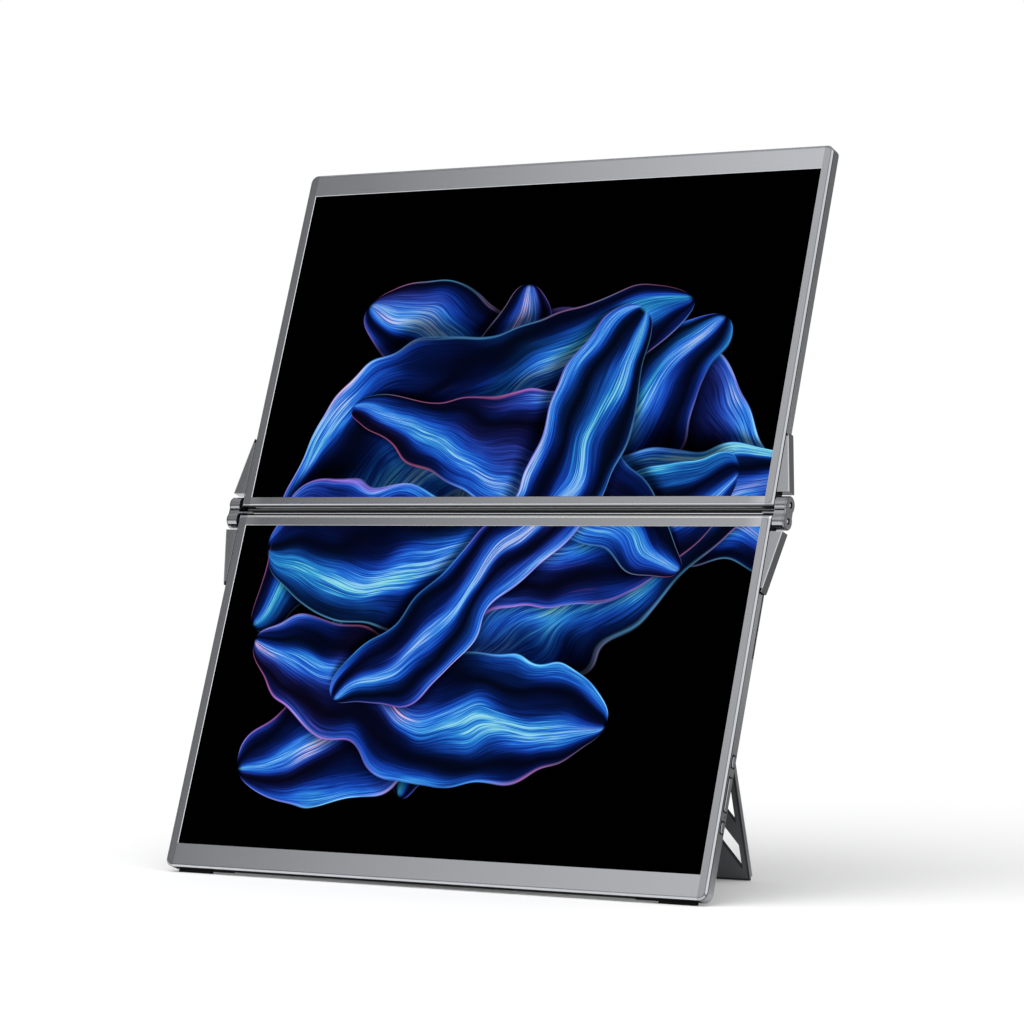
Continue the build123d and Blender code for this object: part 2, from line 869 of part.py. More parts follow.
def spine_profile():
    """Section of the spine in an open drawing: a thin web in front of a flange."""
    with Locations(((web_start + flange_start) / 2, 0)):
        Rectangle(flange_start - web_start, 2 * web_half)
    with Locations((flange_start + flange_depth / 2, (flange_top - flange_bottom) / 2)):
        Rectangle(flange_depth, flange_top + flange_bottom)


def make_block(side, hand):
    with BuildPart() as block:
        with BuildSketch(section.offset(hand * block_x)):
            block_profile()
        extrude(amount=hand * block_length)
        # Bearing bores and the wider room for discs and nuts
        with BuildSketch(section.offset(hand * block_x)):
            with Locations((pivot_depth, pivot_offset), (pivot_depth, -pivot_offset)):
                Circle(pin_radius + pin_play)
        extrude(amount=hand * block_length, mode=Mode.SUBTRACT)
        with BuildSketch(section.offset(hand * bearing_x)):
            with Locations((pivot_depth, pivot_offset), (pivot_depth, -pivot_offset)):
                Circle(disc_radius + disc_room)
        extrude(amount=hand * (cap_x - bearing_x), mode=Mode.SUBTRACT)
        # Seam along each knuckle, below its pivot; the upper one lies in the waist
        lobe_front = pivot_depth - (lobe_radius**2 - seam_drop**2) ** 0.5
        waist_front = pivot_depth - waist_half
        for pivot, front in ((pivot_offset, waist_front), (-pivot_offset, lobe_front)):
            with BuildSketch(section.offset(hand * block_x)):
                with Locations((front, pivot - seam_drop)):
                    Rectangle(2 * seam_depth, seam_width)
            extrude(amount=hand * block_length, mode=Mode.SUBTRACT)
        # Seat of the spine in the waist
        with BuildSketch(section.offset(hand * block_x)):
            spine_profile()
        extrude(amount=hand * spine_seat, mode=Mode.SUBTRACT)
        # Tongue in front of the spine, reaching in between the monitors
        with BuildSketch(section.offset(hand * block_x)):
            with Locations(((tongue_start + web_start) / 2, 0)):
                Rectangle(web_start - tongue_start, 2 * web_half)
        extrude(amount=-hand * (block_x - half_width + tongue_reach))
        if side == "left":
            # Channel between the two pivots for the cable
            with BuildSketch(section.offset(hand * (pin_end_x + disc_gap))):
                with Locations((pivot_depth, 0)):
                    Rectangle(2 * cable_bore, 2 * pivot_offset)
            extrude(amount=hand * (cap_x - pin_end_x - disc_gap), mode=Mode.SUBTRACT)
    save(block, f"hinge_block_{side}")

    with BuildPart() as cap:
        with BuildSketch(section.offset(hand * cap_x)):
            block_profile()
        extrude(amount=hand * cap_length)
        outer = cap.faces().sort_by(Axis.X)[-1 if hand > 0 else 0]
        fillet(outer.edges(), cap_rounding)
        with BuildSketch(section.offset(hand * cap_x)):
            with Locations((pivot_depth, pivot_offset), (pivot_depth, -pivot_offset)):
                Circle(tip_hole_radius)
        extrude(amount=hand * cap_length, mode=Mode.SUBTRACT)
    save(cap, f"hinge_cap_{side}")

    with BuildPart() as discs:
        for step in range(disc_count):
            start = bearing_x + disc_gap + step * (disc_thickness + disc_gap)
            with BuildSketch(section.offset(hand * start)):
                with Locations((pivot_depth, pivot_offset), (pivot_depth, -pivot_offset)):
                    Circle(disc_radius)
                with Locations((pivot_depth, pivot_offset), (pivot_depth, -pivot_offset)):
                    Circle(pin_radius + pin_play, mode=Mode.SUBTRACT)
            extrude(amount=hand * disc_thickness)
    save(discs, f"friction_discs_{side}")


def make_spine():
    spine_half = block_x + spine_seat
    with BuildPart() as spine:
        with BuildSketch(section):
            spine_profile()
        extrude(amount=spine_half, both=True)
    save(spine, "spine_bar")


def make_link_cable():
    turn_x = (pin_end_x + disc_gap + cap_x) / 2
    inner_x = half_width - frame_wall
    route = Plane(
        origin=(0, hinge_y + pivot_depth * lean_cos, hinge_z - pivot_depth * lean_sin),
        x_dir=(1, 0, 0),
        z_dir=(0, -lean_cos, lean_sin),
    )
    with BuildPart() as cable:
        with BuildLine(route) as path:
            FilletPolyline(
                (-inner_x, -pivot_offset),
                (-turn_x, -pivot_offset),
                (-turn_x, pivot_offset),
                (-inner_x, pivot_offset),
                radius=cable_bend,
            )
        with BuildSketch(Plane(origin=path.line @ 0, z_dir=path.line % 0)):
            Circle(cable_radius)
        sweep(path=path.line)
    save(cable, "link_cable")

    with BuildPart() as plugs:
        with BuildSketch(section.offset(-cap_x)):
            with Locations((pivot_depth, pivot_offset), (pivot_depth, -pivot_offset)):
                Circle(tip_hole_radius)
        extrude(amount=tip_setback - cap_length)
    save(plugs, "left_cap_plugs")


# Kickstand, its brackets and pins

axis_y = hinge_y - stand_axis * lean_sin + stand_depth * lean_cos
stand_normal = (0, cos(stand_tilt), sin(stand_tilt))
stand = Plane(origin=(0, axis_y, axis_height), x_dir=(1, 0, 0), z_dir=stand_normal)
stand_section = Plane(origin=(0, axis_y, axis_height), x_dir=stand_normal, z_dir=(-1, 0, 0))


def make_stand():
    half_thickness = stand_thickness / 2
    plate_end = stand_length - stand_pad
    knuckle_half = hinge_cutout / 2 + knuckle_reach
    with BuildPart() as plate:
        with BuildSketch(stand.offset(-half_thickness)):
            with Locations((0, plate_end / 2)):
                Rectangle(2 * stand_half_width, plate_end)
        extrude(amount=stand_thickness)
        with BuildSketch(stand_section):
            Circle(half_thickness)
        extrude(amount=stand_half_width, both=True)
        upright = plate.edges().filter_by(Axis((0, 0, 0), stand_normal)).sort_by(Axis.Z)
        fillet(upright[:2], stand_corner)
        # Slanted windows, mirrored left and right
        outer_x = stand_half_width - window_edge
        for height, length, reach in stand_windows:
            rise = window_slope * reach
            for _, hand in sides:
                with BuildSketch(stand.offset(-half_thickness)):
                    with BuildLine():
                        Polyline(
                            (hand * outer_x, stand_length - height),
                            (hand * outer_x, stand_length - height - length),
                            (hand * (outer_x - reach), stand_length - height - length - rise),
                            (hand * (outer_x - reach), stand_length - height - rise),
                            close=True,
                        )
                    make_face()
                    fillet(vertices(), window_corner)
                extrude(amount=stand_thickness, mode=Mode.SUBTRACT)
        # Cut-outs for the hinge brackets and bores for their pins
        for _, hand in sides:
            with BuildSketch(stand.offset(-half_thickness)):
                with Locations((hand * hinge_cutout_place, (hinge_cutout_depth - half_thickness) / 2)):
                    Rectangle(hinge_cutout, hinge_cutout_depth + half_thickness)
            extrude(amount=stand_thickness, mode=Mode.SUBTRACT)
            with BuildSketch(stand_section.offset(-hand * hinge_cutout_place)):
                Circle(stand_pin_radius + stand_pin_play)
            extrude(amount=knuckle_half, both=True, mode=Mode.SUBTRACT)
    save(plate, "kickstand_plate")

    # Rubber strip cut flat where it stands on the floor
    rise = half_thickness * tan(stand_tilt)
    with BuildPart() as strip:
        with BuildSketch(stand_section):
            with BuildLine():
                Polyline(
                    (-half_thickness, plate_end),
                    (half_thickness, plate_end),
                    (half_thickness, stand_length + rise),
                    (-half_thickness, stand_length - rise),
                    close=True,
                )
            make_face()
        extrude(amount=stand_half_width - stand_corner, both=True)
    save(strip, "kickstand_foot_strip")

    recess_start = stand_axis - half_thickness - stand_end_gap / 2
    bracket_half = hinge_cutout / 2 - bracket_gap
    for side, hand in sides:
        with BuildPart() as bracket:
            with BuildSketch(section.offset(hand * hinge_cutout_place)):
                with Locations((stand_depth, -stand_axis)):
                    Circle(half_thickness)
                with Locations((stand_depth, -(stand_axis + recess_start - bracket_reach) / 2)):
                    Rectangle(bracket_thickness, stand_axis - recess_start + bracket_reach)
                with Locations((stand_depth, -stand_axis)):
                    Circle(stand_pin_radius, mode=Mode.SUBTRACT)
            extrude(amount=bracket_half, both=True)
        save(bracket, f"kickstand_bracket_{side}")

    with BuildPart() as pins:
        for _, hand in sides:
            with BuildSketch(section.offset(hand * hinge_cutout_place)):
                with Locations((stand_depth, -stand_axis)):
                    Circle(stand_pin_radius)
            extrude(amount=knuckle_half - bracket_gap, both=True)
    save(pins, "kickstand_pins")


# Feet and pads


def make_feet():
    def floor_at(depth):
        """Distance of the floor from the middle line, measured along the monitor."""
        return (hinge_z - depth * lean_sin) / lean_cos

    inner = half_width - foot_from_side - foot_length
    with BuildPart() as feet:
        for _, hand in sides:
            with BuildSketch(section.offset(hand * inner)):
                with BuildLine():
                    Polyline(
                        (foot_front, -far_edge),
                        (frame_rear, -far_edge),
                        (frame_rear, -floor_at(frame_rear)),
                        (foot_front, -floor_at(foot_front)),
                        close=True,
                    )
                make_face()
            extrude(amount=hand * foot_length)
            # Thinner base of the foot, reaching further in
            with BuildSketch(section.offset(hand * (inner - foot_base_reach))):
                with Locations(((foot_front + frame_rear) / 2, -far_edge - foot_base_height / 2)):
                    Rectangle(frame_rear - foot_front, foot_base_height)
            extrude(amount=hand * foot_base_reach)
    save(feet, "rubber_feet")

    across = half_width - pad_from_side
    spots = [(hand * across, place) for hand in (-1, 1) for place in pad_places]
    with BuildPart() as pads:
        with BuildSketch(at_depth(body_thickness)):
            with Locations(*spots):
                Circle(pad_radius)
        extrude(amount=-pad_height)
    save(pads, "upper_rear_pads")


for monitor, away, hinge_edge in monitors:
    make_bezel(monitor, away, hinge_edge)
    make_display(monitor, away)
    make_frame(monitor, away, hinge_edge)
    make_cover(monitor, away, hinge_edge)
    make_cover_screws(monitor, away)
    make_edge_seal(monitor, away, hinge_edge)
    make_pin_nuts(monitor, away)
    for side_name, side_hand in sides:
        make_hinge_leaf(monitor, away, side_name, side_hand)
        make_arm(monitor, away, side_name, side_hand)

make_floor_strip()
make_boards()
make_sockets()
make_speakers()
make_keys()
for side_name, side_hand in sides:
    make_block(side_name, side_hand)
make_spine()
make_link_cable()
make_stand()
make_feet()
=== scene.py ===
import json
from math import cos, radians, sin

import bpy
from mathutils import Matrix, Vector

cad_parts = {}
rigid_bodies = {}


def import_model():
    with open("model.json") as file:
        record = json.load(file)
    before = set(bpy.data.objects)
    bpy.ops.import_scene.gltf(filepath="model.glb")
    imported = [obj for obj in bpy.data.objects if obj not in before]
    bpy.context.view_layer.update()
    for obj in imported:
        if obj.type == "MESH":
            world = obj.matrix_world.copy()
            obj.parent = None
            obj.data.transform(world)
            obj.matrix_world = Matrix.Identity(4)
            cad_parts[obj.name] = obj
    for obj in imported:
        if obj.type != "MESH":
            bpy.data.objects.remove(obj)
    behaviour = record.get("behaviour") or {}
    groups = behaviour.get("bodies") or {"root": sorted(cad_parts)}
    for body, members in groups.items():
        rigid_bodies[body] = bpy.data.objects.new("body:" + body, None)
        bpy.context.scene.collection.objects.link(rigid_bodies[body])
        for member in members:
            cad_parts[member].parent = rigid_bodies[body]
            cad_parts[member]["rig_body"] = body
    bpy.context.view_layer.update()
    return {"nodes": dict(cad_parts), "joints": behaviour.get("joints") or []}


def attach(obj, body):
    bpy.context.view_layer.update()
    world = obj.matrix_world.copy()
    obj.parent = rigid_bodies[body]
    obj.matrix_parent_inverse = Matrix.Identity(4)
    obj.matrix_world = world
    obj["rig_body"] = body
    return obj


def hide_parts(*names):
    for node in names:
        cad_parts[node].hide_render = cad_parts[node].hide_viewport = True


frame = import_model()
nodes = frame["nodes"]

MM = 0.001

# The monitors lean back by this angle; depth and height along them are measured from the middle
# of the hinge, on the front faces
LEAN = radians(19.7)
PIVOT_DEPTH = 4.0 * MM
BACK = Vector((0, cos(LEAN), -sin(LEAN)))
UP = Vector((0, sin(LEAN), cos(LEAN)))
RIGHT = Vector((1, 0, 0))
pivots = [Vector(j["pos_m"]) for j in frame["joints"] if j["name"].endswith("_pivot")]
MIDDLE = (pivots[0] + pivots[1]) / 2 - BACK * PIVOT_DEPTH
MIDDLE.x = 0

# Outline of both monitors and of their windows, measured from the middle of the hinge
HALF_WIDTH = 178.0 * MM
FAR_EDGE = 216.3 * MM
CORNER = 4.5 * MM
LOWER_HINGE_EDGE = 2.5 * MM
UPPER_HINGE_EDGE = 3.3 * MM
WINDOW_HALF_WIDTH = 172.1 * MM
WINDOW_START = 8.8 * MM

# Hinge arms with the notches at their tips, and the knuckles and pins of the hinge
ARM_START = 11.3 * MM
ARM_HEIGHT = 8.3 * MM
ARM_SLOPE = 0.195
NOTCH_SLOPE = 0.25
NOTCH_START = 43.6 * MM
NOTCH_END = 45.8 * MM
PIVOT_OFFSET = 4.6 * MM
PIN_HOLE = 1.8 * MM
PIN_END = 185.0 * MM
SEAM_DROP = 3.8 * MM
SEAL_SHADE_DEPTH = 3.0 * MM
WEB_FRONT = 4.4 * MM

# Sockets in the side walls, and keys in the right one with the place and length of each
SOCKETS_START = 62.0 * MM
SOCKETS_END = 190.0 * MM
SOCKETS_FRONT = 2.4 * MM
SOCKETS_BACK = 6.9 * MM
KEY_DEPTH = 4.6 * MM
KEY_HALF_WIDTH = 1.55 * MM
KEY_GAP = 0.5 * MM
KEYS = ((139.6, 6.2), (157.7, 18.4), (175.7, 6.0))

# Kickstand: its lean, its length from the pivot, and the foot and length of each slanted window
STAND_TILT = radians(16.7)
STAND_DOWN = Vector((0, sin(STAND_TILT), -cos(STAND_TILT)))
STAND_AXIS = next(Vector(j["pos_m"]) for j in frame["joints"] if j["name"] == "kickstand_fold")
STAND_LENGTH = 202.7 * MM
STAND_RIM = 131.65 * MM
STAND_WINDOW_EDGE = 127.6 * MM
STAND_WINDOW_SLOPE = 1.45
STAND_WINDOWS = ((7.5, 14.0), (35.1, 34.3), (84.0, 33.0))


# Shader maths


class Value:
    """Output of a shader node; arithmetic on it adds the nodes that work it out."""

    def __init__(self, shader, socket):
        self.shader = shader
        self.socket = socket

    def _math(self, operation, *others):
        terms = dict(enumerate((self, *others)))
        return self.shader.node("Math", {"operation": operation}, terms)

    def __add__(self, other):
        return self._math("ADD", other)

    __radd__ = __add__

    def __sub__(self, other):
        return self._math("SUBTRACT", other)

    def __rsub__(self, other):
        return self.shader.node("Math", {"operation": "SUBTRACT"}, {0: other, 1: self})

    def __mul__(self, other):
        return self._math("MULTIPLY", other)

    __rmul__ = __mul__

    def __truediv__(self, other):
        return self._math("DIVIDE", other)

    def __pow__(self, other):
        return self._math("POWER", other)

    def __neg__(self):
        return self * -1

    def __abs__(self):
        return self._math("ABSOLUTE")

    def sin(self):
        return self._math("SINE")

    def max(self, other):
        return self._math("MAXIMUM", other)

    def min(self, other):
        return self._math("MINIMUM", other)

    def angle_from(self, other):
        return self._math("ARCTAN2", other)

    def ramp(self, low, high, smooth=True):
        """0 at low and 1 at high, or the other way round where low is the larger."""
        kind = "SMOOTHSTEP" if smooth else "LINEAR"
        rising = low < high
        ends = {"From Min": min(low, high), "From Max": max(low, high)}
        ends.update({"To Min": 0.0 if rising else 1.0, "To Max": 1.0 if rising else 0.0})
        return self.shader.node("MapRange", {"interpolation_type": kind}, {"Value": self, **ends})


class Shader:
    """Node tree of one material or of the world, built from its output back."""

    def __init__(self, tree):
        self.tree = tree
        tree.nodes.clear()

    def node(self, kind, settings=None, values=None, output=0):
        made = self.tree.nodes.new("ShaderNode" + kind)
        for name, setting in (settings or {}).items():
            if name == "stops":
                self._set_stops(made.color_ramp, setting)
            else:
                setattr(made, name, setting)
        for key, value in (values or {}).items():
            socket = made.inputs[key]
            if isinstance(value, Value):
                self.tree.links.new(value.socket, socket)
            elif socket.type == "RGBA" and len(value) == 3:
                socket.default_value = (*value, 1.0)
            else:
                socket.default_value = value
        return Value(self, made.outputs[output]) if made.outputs else None

    def _set_stops(self, ramp, stops):
        while len(ramp.elements) < len(stops):
            ramp.elements.new(1.0)
        for element, (place, colour) in zip(ramp.elements, stops):
            element.position = place
            element.color = (*colour, 1.0)

    def place(self):
        return self.node("TexCoord", output="Object")

    def offset(self, point, shift):
        return self.node("VectorMath", {"operation": "SUBTRACT"}, {0: point, 1: shift})

    def along(self, point, direction):
        dot = {"operation": "DOT_PRODUCT"}
        return self.node("VectorMath", dot, {0: point, 1: direction}, "Value")

    def vector(self, x, y, z=0.0):
        return self.node("CombineXYZ", values={0: x, 1: y, 2: z})

    def noise(self, point, scale, detail=2.0, roughness=0.5):
        values = {"Vector": point, "Scale": scale, "Detail": detail, "Roughness": roughness}
        return self.node("TexNoise", values=values)

    def mix(self, share, first, second):
        colours = {"Factor": share, 6: first, 7: second}
        return self.node("Mix", {"data_type": "RGBA"}, colours, 2)

    def blend(self, kind, share, first, second):
        colours = {"Factor": share, 6: first, 7: second}
        return self.node("Mix", {"data_type": "RGBA", "blend_type": kind}, colours, 2)

    def tinted(self, colour, shade):
        """A colour made lighter or darker by a shade."""
        return self.blend("MULTIPLY", 1.0, colour, self.vector(shade, shade, shade))

    def ray(self, kind):
        return self.node("LightPath", output=f"Is {kind} Ray")

    def bump(self, height, strength, distance):
        values = {"Height": height, "Strength": strength, "Distance": distance}
        return self.node("Bump", values=values)

    def principled(self, **values):
        named = {name.replace("_", " "): value for name, value in values.items()}
        return self.node("BsdfPrincipled", values=named)

    def finish(self, surface, kind="OutputMaterial"):
        self.node(kind, values={"Surface": surface})


# Anodised surfaces: scale of the sparkle, of the blasting marks and of the clouds
BEZEL_COLOUR = (0.43, 0.44, 0.465)
BEZEL_ROUGHNESS = 0.17
SPARKLE_SCALE = 5200
BLAST_SCALE = 1300
BLAST_DEPTH = 0.02 * MM
COARSE_SHARE = 0.3
CLOUD_SCALE = 14


def new_material(name):
    material = bpy.data.materials.new(name)
    material.use_nodes = True
    return material, Shader(material.node_tree)


def panel_place(s, p):
    """Place on the monitors: to the right, up from the hinge and behind the front faces."""
    q = s.offset(p, MIDDLE)
    return s.along(q, RIGHT), s.along(q, UP), s.along(q, BACK)


def anodised(s, p, colour, roughness, factor=1.0, coarse=0.0, shades=(0.94, 0.08, 0.05), **values):
    """Bead-blasted and anodised aluminium: a fine sparkle, and faint cloudy changes of shade."""
    fine = s.noise(p, SPARKLE_SCALE, 2, 0.6)
    cloud = s.noise(p, CLOUD_SCALE, 3, 0.5)
    height = fine
    if coarse:
        height = fine * (1 - coarse) + s.noise(p, BLAST_SCALE, 2, 0.5) * coarse
    plain, sparkle, clouding = shades
    # factor carries the painted shade and painted highlights that a finish passes in
    shade = (plain + sparkle * fine + clouding * cloud) * factor
    values.setdefault("Metallic", 1.0)
    s.finish(
        s.principled(
            Base_Color=s.tinted(colour, shade),
            Roughness=roughness - 0.05 + 0.07 * cloud + 0.06 * (fine - 0.5),
            Normal=s.bump(height, 0.3, BLAST_DEPTH),
            **values,
        )
    )


def cover_finish(name, colour, roughness):
    material, s = new_material(name)
    anodised(s, s.place(), colour, roughness, coarse=COARSE_SHARE)
    return material


def inset(x, up, hinge_edge):
    """How far in from the outline of a monitor a point lies, and how far round a far corner."""
    across = x - (HALF_WIDTH - CORNER)
    along = abs(up - (FAR_EDGE + hinge_edge) / 2) - ((FAR_EDGE - hinge_edge) / 2 - CORNER)
    round_corner = (across.max(0.0) ** 2 + along.max(0.0) ** 2) ** 0.5
    return CORNER - round_corner - across.max(along).min(0.0), across.min(along)


def bezel_with_painted_light(name, hinge_edge, hinge_highlight, hinge_shade):
    """Anodised front plate with painted light and shade: a painted shade line inside its chamfer,
    painted shade where the plate meets the frame, along the hinge-side strip and on the left chamfer,
    and painted highlights at the window's edges and on the lower plate's hinge chamfer.
    """
    material, s = new_material(name)
    p = s.place()
    right, up, depth = panel_place(s, p)
    x, up = abs(right), abs(up)
    edge, corner = inset(x, up, hinge_edge)
    # Painted shade: a thin dark line just inside the chamfer.
    line = edge.ramp(0.95 * MM, 1.1 * MM) * edge.ramp(1.8 * MM, 1.4 * MM)
    # Painted shade where the plate's edge meets the frame, deepest at the far corners.
    rim = depth.ramp(0.60 * MM, 0.70 * MM) * edge.ramp(0.3 * MM, 0.2 * MM)
    rim_shade = 0.88 + 0.08 * corner.ramp(0.0, 0.2 * MM)
    # Painted highlight along the window's edges.
    painted_window_edge = x.ramp(WINDOW_HALF_WIDTH + 0.5 * MM, WINDOW_HALF_WIDTH + 0.3 * MM)
    # Band along the hinge-side chamfer, given a painted highlight on the lower plate.
    hinge_highlight_band = up.ramp(hinge_edge + 1.7 * MM, hinge_edge + 1.3 * MM)
    # Painted shade over the strip between the hinge and the window, fading towards its ends.
    strip_shade = up.ramp(WINDOW_START + 0.1 * MM, WINDOW_START - 0.1 * MM) * (1 - hinge_highlight_band)
    strip_shade = strip_shade * x.ramp(WINDOW_HALF_WIDTH, WINDOW_HALF_WIDTH - 12 * MM)
    # Painted shade on the upper plate's hinge chamfer, and on the left chamfer with less metal sheen.
    chamfer = edge.ramp(0.62 * MM, 0.56 * MM)
    hinge_chamfer_shade = chamfer * (up.ramp(hinge_edge + 0.7 * MM, hinge_edge + 0.5 * MM) * hinge_shade)
    left_chamfer_shade = chamfer * right.ramp(-HALF_WIDTH + 0.9 * MM, -HALF_WIDTH + 0.7 * MM)
    factor = (1 - 0.26 * line * (1 - hinge_highlight_band)) * (1 - rim_shade * rim)
    factor = factor * (1 + 0.35 * painted_window_edge) * (1 - 0.27 * strip_shade)
    factor = factor * (1 + hinge_highlight * hinge_highlight_band) * (1 - hinge_chamfer_shade.max(0.7 * left_chamfer_shade))
    anodised(
        s,
        p,
        BEZEL_COLOUR,
        BEZEL_ROUGHNESS,
        factor,
        COARSE_SHARE,
        Metallic=1.0 - 0.9 * left_chamfer_shade,
        Specular_IOR_Level=0.1,
    )
    return material


def side_wall_metal(name, colour, roughness):
    """Anodised side frame, with painted shade inside its socket openings, round its keys and in the
    notches at the hinge arms' tips.
    """
    material, s = new_material(name)
    p = s.place()
    x, up, depth = panel_place(s, p)
    # Painted shade on the inner faces of the socket openings and round each key.
    inside = abs(x).ramp(HALF_WIDTH - 0.15 * MM, HALF_WIDTH - 0.3 * MM)
    zone = up.ramp(2 * MM - SOCKETS_START, -SOCKETS_START) * up.ramp(-SOCKETS_END - 2 * MM, -SOCKETS_END)
    opening_shade = inside * zone * depth.ramp(SOCKETS_FRONT - 0.2 * MM, SOCKETS_FRONT)
    opening_shade = opening_shade * depth.ramp(SOCKETS_BACK + 0.2 * MM, SOCKETS_BACK)
    across = abs(depth - KEY_DEPTH) - KEY_HALF_WIDTH
    for place, length in KEYS:
        beside = (abs(up + place * MM) - length / 2 * MM).max(across) - KEY_GAP
        opening_shade = opening_shade.max(beside.ramp(0.25 * MM, 0.12 * MM) * x.ramp(0, MM))
    # Painted shade in the notch beside each hinge arm's tip.
    notch_shade = abs(up).ramp(NOTCH_START, NOTCH_START + 0.1 * MM)
    notch_shade = notch_shade * abs(up).ramp(NOTCH_END + 0.1 * MM, NOTCH_END - 0.1 * MM)
    notch_shade = notch_shade * depth.ramp(0.8 * MM, 1.0 * MM) * depth.ramp(5.4 * MM, 5.0 * MM)
    anodised(s, p, colour, roughness, 1 - 0.94 * opening_shade.max(notch_shade))
    return material


def notched_arm_metal(name, colour, roughness):
    """Anodised hinge arm, with painted shade in its notch and in the groove along the wall, and a
    painted highlight at its outer front edge.
    """
    material, s = new_material(name)
    p = s.place()
    right, up, depth = panel_place(s, p)
    x, up = abs(right), abs(up)
    skin = x + NOTCH_SLOPE * (up - NOTCH_START)
    # Painted shade in the notch at the tip.
    notch_shade = up.ramp(NOTCH_START - 0.05 * MM, NOTCH_START + 0.1 * MM)
    notch_shade = notch_shade * depth.ramp(0.7 * MM, 0.85 * MM)
    notch_shade = notch_shade * skin.ramp(HALF_WIDTH + 1.75 * MM, HALF_WIDTH + 1.65 * MM)
    outer = x + ARM_SLOPE * (up - ARM_START) - (HALF_WIDTH + ARM_HEIGHT)
    # Painted highlight along the outer front edge.
    edge = outer.ramp(-0.75 * MM, -0.6 * MM) * depth.ramp(0.8 * MM, 0.7 * MM)
    edge = edge * up.ramp(NOTCH_START, NOTCH_START - 0.2 * MM)
    # Painted shade, with less metal sheen, in the groove along the wall.
    groove_shade = x.ramp(HALF_WIDTH + 0.6 * MM, HALF_WIDTH + 0.52 * MM)
    groove_shade = groove_shade * depth.ramp(0.61 * MM, 0.64 * MM)
    factor = (1 - (0.96 * notch_shade).max(0.9 * groove_shade)) * (1 + 0.7 * edge)
    metallic = 1.0 - 0.9 * groove_shade
    anodised(s, p, colour, roughness, factor, Metallic=metallic, Specular_IOR_Level=0.1)
    return material


def seam_shaded_block_metal(name, colour, roughness):
    """Anodised hinge block, with a line of painted shade along the seam of each knuckle."""
    material, s = new_material(name)
    p = s.place()
    _, up, depth = panel_place(s, p)
    from_seam = abs(up - (PIVOT_OFFSET - SEAM_DROP)).min(abs(up + (PIVOT_OFFSET + SEAM_DROP)))
    # Painted shade line on the front of each knuckle.
    seam_shade = from_seam.ramp(0.46 * MM, 0.38 * MM) * depth.ramp(3.0 * MM, 2.8 * MM)
    anodised(s, p, colour, roughness, 1 - 0.93 * seam_shade)
    return material


def pierced_cap_metal(name, colour, roughness):
    """Anodised hinge cap, with painted shade in the holes over the two pivot pins."""
    material, s = new_material(name)
    p = s.place()
    _, up, depth = panel_place(s, p)
    radius = ((depth - PIVOT_DEPTH) ** 2 + (abs(up) - PIVOT_OFFSET) ** 2) ** 0.5
    # Painted shade inside each pin hole.
    hole_shade = radius.ramp(PIN_HOLE + 0.12 * MM, PIN_HOLE + 0.02 * MM)
    anodised(s, p, colour, roughness, 1 - 0.95 * hole_shade)
    return material


def kickstand_metal(name, colour, rim_colour, roughness):
    """Dark anodised kickstand with a bare ground rim, a darker band just inside the rim, and painted
    shade on the edges of its windows.
    """
    material, s = new_material(name)
    p = s.place()
    x = abs(s.along(p, RIGHT))
    from_floor = STAND_LENGTH - s.along(s.offset(p, STAND_AXIS), STAND_DOWN)
    rim = x.ramp(STAND_RIM - 0.1 * MM, STAND_RIM + 0.1 * MM)
    # A darker band just inside the rim.
    line = x.ramp(STAND_RIM - 1.45 * MM, STAND_RIM - 1.15 * MM) * x.ramp(STAND_RIM, STAND_RIM - 0.2 * MM)
    level = from_floor - STAND_WINDOW_SLOPE * (STAND_WINDOW_EDGE - x)
    windows = 0.0
    for height, length in STAND_WINDOWS:
        low = level.ramp((height - 0.5) * MM, (height - 0.2) * MM)
        high = level.ramp((height + length + 0.2) * MM, (height + length + 0.1) * MM)
        windows = windows + low * high
    # Painted shade on the cut faces of the windows.
    painted_window_edge = windows * x.ramp(STAND_WINDOW_EDGE + 0.2 * MM, STAND_WINDOW_EDGE + 0.1 * MM)
    factor = (1 - 0.75 * painted_window_edge) * (1 - 0.55 * line)
    tone = s.mix(rim, colour, rim_colour)
    anodised(s, p, tone, roughness, factor, shades=(0.96, 0.12, 0.08))
    return material


def turned_steel(name, colour, roughness, axis):
    """Steel turned on a lathe: fine rings about its axis."""
    material, s = new_material(name)
    p = s.offset(s.place(), MIDDLE)
    reach = s.node("VectorMath", {"operation": "CROSS_PRODUCT"}, {0: p, 1: axis})
    radius = s.node("VectorMath", {"operation": "LENGTH"}, {0: reach}, "Value")
    rings = s.noise(s.vector(radius * 9000, s.along(p, axis) * 600), 1, 2, 0.6)
    specks = s.noise(s.place(), 1800, 3, 0.6)
    shade = 0.86 + 0.2 * rings
    s.finish(
        s.principled(
            Base_Color=s.tinted(colour, shade),
            Metallic=1.0,
            Roughness=roughness + 0.12 * (rings - 0.5) + 0.08 * specks,
            Normal=s.bump(rings, 0.25, 0.00003),
        )
    )
    return material


def shade_black_leaf(name):
    """Hinge leaf coloured near black as painted shade in the slots round it, whose pin ends in a bright
    turned tip.
    """
    material, s = new_material(name)
    p = s.place()
    bright = abs(s.along(p, RIGHT)).ramp(PIN_END - 0.2 * MM, PIN_END + 0.2 * MM)
    rings = s.noise(p, 2600, 2, 0.6)
    s.finish(
        s.principled(
            Base_Color=s.mix(bright, (0.022, 0.022, 0.024), (0.75, 0.75, 0.76)),
            Metallic=1.0,
            Roughness=0.42 - 0.16 * bright + 0.1 * (rings - 0.5),
            Normal=s.bump(rings, 0.2, 0.00003),
        )
    )
    return material


